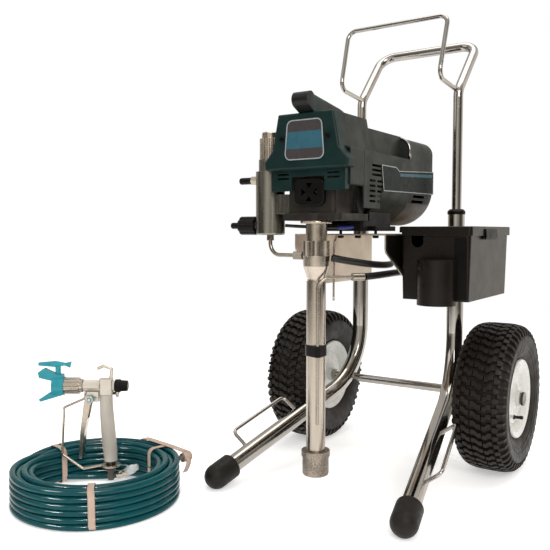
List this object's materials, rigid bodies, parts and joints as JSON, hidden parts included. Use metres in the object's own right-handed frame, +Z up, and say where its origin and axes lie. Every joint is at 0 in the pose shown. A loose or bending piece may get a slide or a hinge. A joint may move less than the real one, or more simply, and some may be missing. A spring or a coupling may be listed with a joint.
{
  "type": "airless paint sprayer",
  "caption": "Electric airless paint sprayer on a two-wheeled tube cart: motor and piston pump over a siphon tube, toolbox, pull handle, coiled hose and spray gun.",
  "frame": {"origin": "centre of the whole outfit's footprint, on the floor", "axes": "+Z up, +X to the cart's right side, -Y to the front, where the pump hangs"},
  "size_m": [0.8367, 0.9654, 1.021],
  "materials": {
    "chrome_tube": "polished",
    "nickel": "satin nickel plate",
    "steel": "machined",
    "green_plastic": "satin",
    "grey_plastic": "satin",
    "black_plastic": "matt",
    "black_rubber": "matt",
    "tyre_rubber": "matt",
    "rim_paint": "gloss",
    "cast_metal": "cast",
    "copper_iron": "laminated",
    "black_steel": "satin",
    "hose_green": "gloss jacket",
    "tie_paper": "matt",
    "teal_plastic": "satin",
    "gun_metal": "satin"
  },
  "bodies": {
    "frame": {"left_rail": "chrome_tube", "right_rail": "chrome_tube", "axle": "chrome_tube", "axle_caps": "chrome_tube", "foot_caps": "black_rubber", "rail_collars": "black_plastic", "pump_bracket": "nickel", "toolbox_bracket": "black_steel", "bracket_bolts": "black_steel", "motor_cover": "grey_plastic", "rear_cap": "grey_plastic", "stator": "copper_iron", "gear_housing": "cast_metal", "front_cover": "green_plastic", "cover_screws": "black_steel", "rod_cover": "black_plastic", "carry_handle": "grey_plastic", "control_box": "grey_plastic", "filter_housing": "nickel", "filter_element": "steel", "outlet_fitting": "nickel", "outlet_pipe": "nickel", "pump_body": "nickel", "rod_packings": "black_plastic", "siphon_tube": "nickel", "inlet_strainer": "nickel", "tube_strap": "black_rubber", "return_pipe": "nickel", "drain_hoses": "black_rubber", "toolbox": "black_plastic"},
    "pull_handle": {"pull_handle": "chrome_tube"},
    "left_wheel": {"left_tyre": "tyre_rubber", "left_rim": "rim_paint"},
    "right_wheel": {"right_tyre": "tyre_rubber", "right_rim": "rim_paint"},
    "motor_rotor": {"rotor": "steel"},
    "crank": {"drive_gear": "steel", "crankshaft": "steel"},
    "connecting_rod": {"connecting_rod": "steel"},
    "piston": {"piston_rod": "steel"},
    "inlet_ball": {"inlet_ball": "steel"},
    "outlet_ball": {"outlet_ball": "steel"},
    "filter_cap": {"filter_cap": "nickel"},
    "outlet_cap": {"outlet_cap": "black_plastic"},
    "prime_knob": {"prime_knob": "black_plastic"},
    "power_switch": {"power_switch": "black_plastic"},
    "pressure_knob": {"pressure_knob": "black_plastic"},
    "toolbox_lid": {"toolbox_lid": "black_plastic"},
    "toolbox_latch": {"toolbox_latch": "black_plastic"},
    "hose": {"hose_coil": "hose_green", "hose_ties": "tie_paper"},
    "gun": {"gun_body": "gun_metal", "gun_grip": "gun_metal", "trigger_guard": "gun_metal"},
    "gun_trigger": {"gun_trigger": "gun_metal"},
    "trigger_lock": {"trigger_lock": "gun_metal"},
    "guard_nut": {"guard_nut": "gun_metal"},
    "tip_guard": {"tip_guard": "teal_plastic"},
    "spray_tip": {"spray_tip": "teal_plastic"},
    "gun_swivel": {"gun_swivel": "gun_metal"}
  },
  "joints": [
    {"name": "handle_slide", "type": "slide", "parent": "frame", "child": "pull_handle", "axis": [0, 0, 1], "range_m": [-0.16, 0]},
    {"name": "left_wheel_spin", "type": "hinge", "parent": "frame", "child": "left_wheel", "pos_m": [-0.1136, 0.3177, 0.165], "axis": [1, 0, 0], "continuous": true},
    {"name": "right_wheel_spin", "type": "hinge", "parent": "frame", "child": "right_wheel", "pos_m": [0.3604, 0.3177, 0.165], "axis": [1, 0, 0], "continuous": true},
    {"name": "crank_spin", "type": "hinge", "parent": "frame", "child": "crank", "pos_m": [0.1234, -0.0273, 0.691], "axis": [0, 1, 0], "continuous": true},
    {"name": "motor_spin", "type": "hinge", "parent": "frame", "child": "motor_rotor", "pos_m": [0.1234, 0.1177, 0.646], "axis": [0, 1, 0], "continuous": true},
    {"name": "connecting_rod_swing", "type": "hinge", "parent": "crank", "child": "connecting_rod", "pos_m": [0.1234, -0.0673, 0.675], "axis": [0, 1, 0], "continuous": true},
    {"name": "piston_stroke", "type": "slide", "parent": "frame", "child": "piston", "axis": [0, 0, 1], "range_m": [0, 0.032]},
    {"name": "inlet_ball_lift", "type": "slide", "parent": "frame", "child": "inlet_ball", "axis": [0, 0, 1], "range_m": [0, 0.003]},
    {"name": "outlet_ball_lift", "type": "slide", "parent": "piston", "child": "outlet_ball", "axis": [0, 0, 1], "range_m": [0, 0.003]},
    {"name": "filter_cap_turn", "type": "hinge", "parent": "frame", "child": "filter_cap", "pos_m": [0.0104, -0.0813, 0.7], "axis": [0, 0, 1], "continuous": true},
    {"name": "outlet_cap_turn", "type": "hinge", "parent": "frame", "child": "outlet_cap", "pos_m": [-0.0466, -0.0813, 0.639], "axis": [1, 0, 0], "continuous": true},
    {"name": "prime_knob_turn", "type": "hinge", "parent": "frame", "child": "prime_knob", "pos_m": [-0.0416, -0.0813, 0.547], "axis": [1, 0, 0], "range_deg": [0, 90]},
    {"name": "power_switch_rock", "type": "hinge", "parent": "frame", "child": "power_switch", "pos_m": [0.0634, 0.0477, 0.556], "axis": [0, 0, 1], "range_deg": [-8, 8]},
    {"name": "pressure_knob_turn", "type": "hinge", "parent": "frame", "child": "pressure_knob", "pos_m": [0.0554, 0.0897, 0.556], "axis": [1, 0, 0], "range_deg": [0, 270]},
    {"name": "toolbox_lid_hinge", "type": "hinge", "parent": "frame", "child": "toolbox_lid", "pos_m": [0.2389, 0.1702, 0.533], "axis": [0, -1, 0], "range_deg": [0, 95]},
    {"name": "toolbox_latch_hinge", "type": "hinge", "parent": "toolbox_lid", "child": "toolbox_latch", "pos_m": [0.3855, 0.1547, 0.54], "axis": [0, -1, 0], "range_deg": [0, 70]},
    {"name": "hose_lift", "type": "slide", "parent": "frame", "child": "hose", "axis": [0, 0, 1], "range_m": [0, 0.3]},
    {"name": "gun_lift", "type": "slide", "parent": "hose", "child": "gun", "axis": [0, 0, 1], "range_m": [0, 0.3]},
    {"name": "trigger_pull", "type": "hinge", "parent": "gun", "child": "gun_trigger", "pos_m": [-0.3093, -0.27664, 0.188], "axis": [0.5592, -0.829, 0], "range_deg": [0, 15]},
    {"name": "trigger_lock_turn", "type": "hinge", "parent": "gun", "child": "trigger_lock", "pos_m": [-0.3093, -0.27664, 0.188], "axis": [-0.5592, 0.829, 0], "range_deg": [0, 90]},
    {"name": "guard_nut_turn", "type": "hinge", "parent": "gun", "child": "guard_nut", "pos_m": [-0.33334, -0.29285, 0.214], "axis": [-0.829, -0.5592, 0], "continuous": true},
    {"name": "tip_guard_turn", "type": "hinge", "parent": "gun", "child": "tip_guard", "pos_m": [-0.36236, -0.31242, 0.214], "axis": [-0.829, -0.5592, 0], "range_deg": [-90, 90]},
    {"name": "spray_tip_turn", "type": "hinge", "parent": "tip_guard", "child": "spray_tip", "pos_m": [-0.36567, -0.31466, 0.226], "axis": [0, 0, 1], "range_deg": [0, 180]},
    {"name": "gun_swivel_turn", "type": "hinge", "parent": "gun", "child": "gun_swivel", "pos_m": [-0.27697, -0.25483, 0.04], "axis": [0, 0, 1], "continuous": true}
  ],
  "couplings": [
    {"joint": "motor_spin", "follows": "crank_spin", "ratio": -4},
    {"joint": "connecting_rod_swing", "follows": "crank_spin", "ratio": -1}
  ]
}
